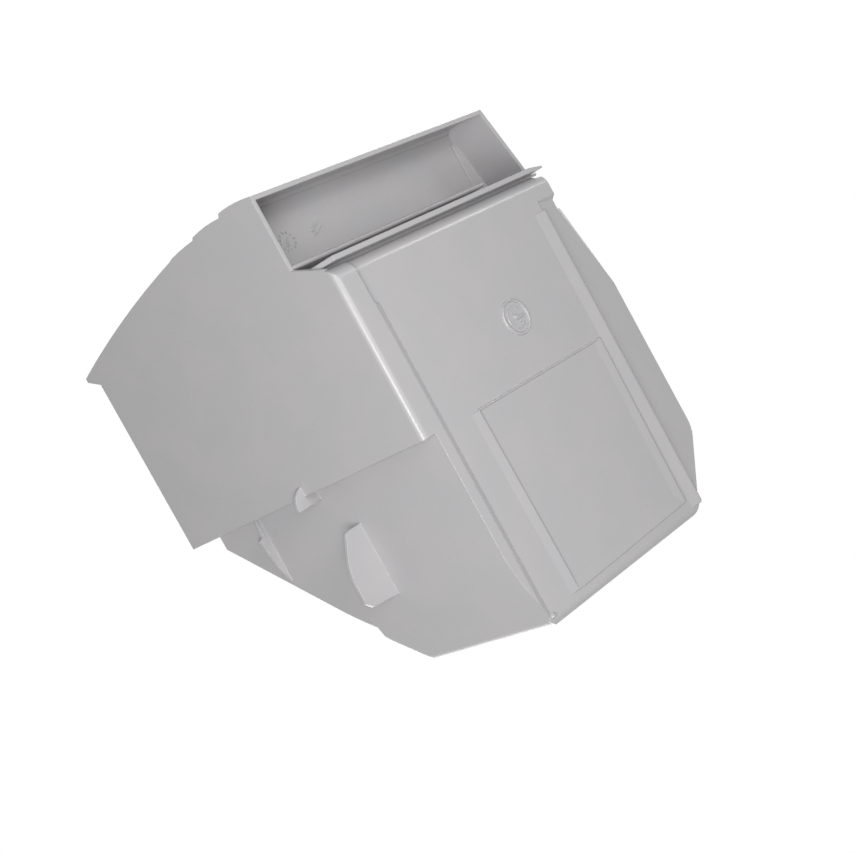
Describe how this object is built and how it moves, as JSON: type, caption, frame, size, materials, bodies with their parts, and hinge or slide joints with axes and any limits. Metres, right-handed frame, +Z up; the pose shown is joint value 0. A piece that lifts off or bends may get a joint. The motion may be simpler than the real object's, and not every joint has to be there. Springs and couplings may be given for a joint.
{
  "type": "coffee machine grounds container",
  "caption": "Deep moulded bin with a low sloped front, tall curved rear wall, bottom runners and side guide lugs; collects spent coffee pucks inside a machine.",
  "frame": {"origin": "middle of the bounding box at the level of the bottom runners, on which the bin stands", "axes": "+Z up through the open mouth, +Y towards the low sloped front, -X the side that carries the guide lugs"},
  "size_m": [0.1266, 0.1544, 0.1332],
  "materials": {
    "body": "light silver-grey moulded plastic with a fine satin grain"
  },
  "bodies": {
    "root": {"grounds_container": "body"}
  },
  "joints": []
}
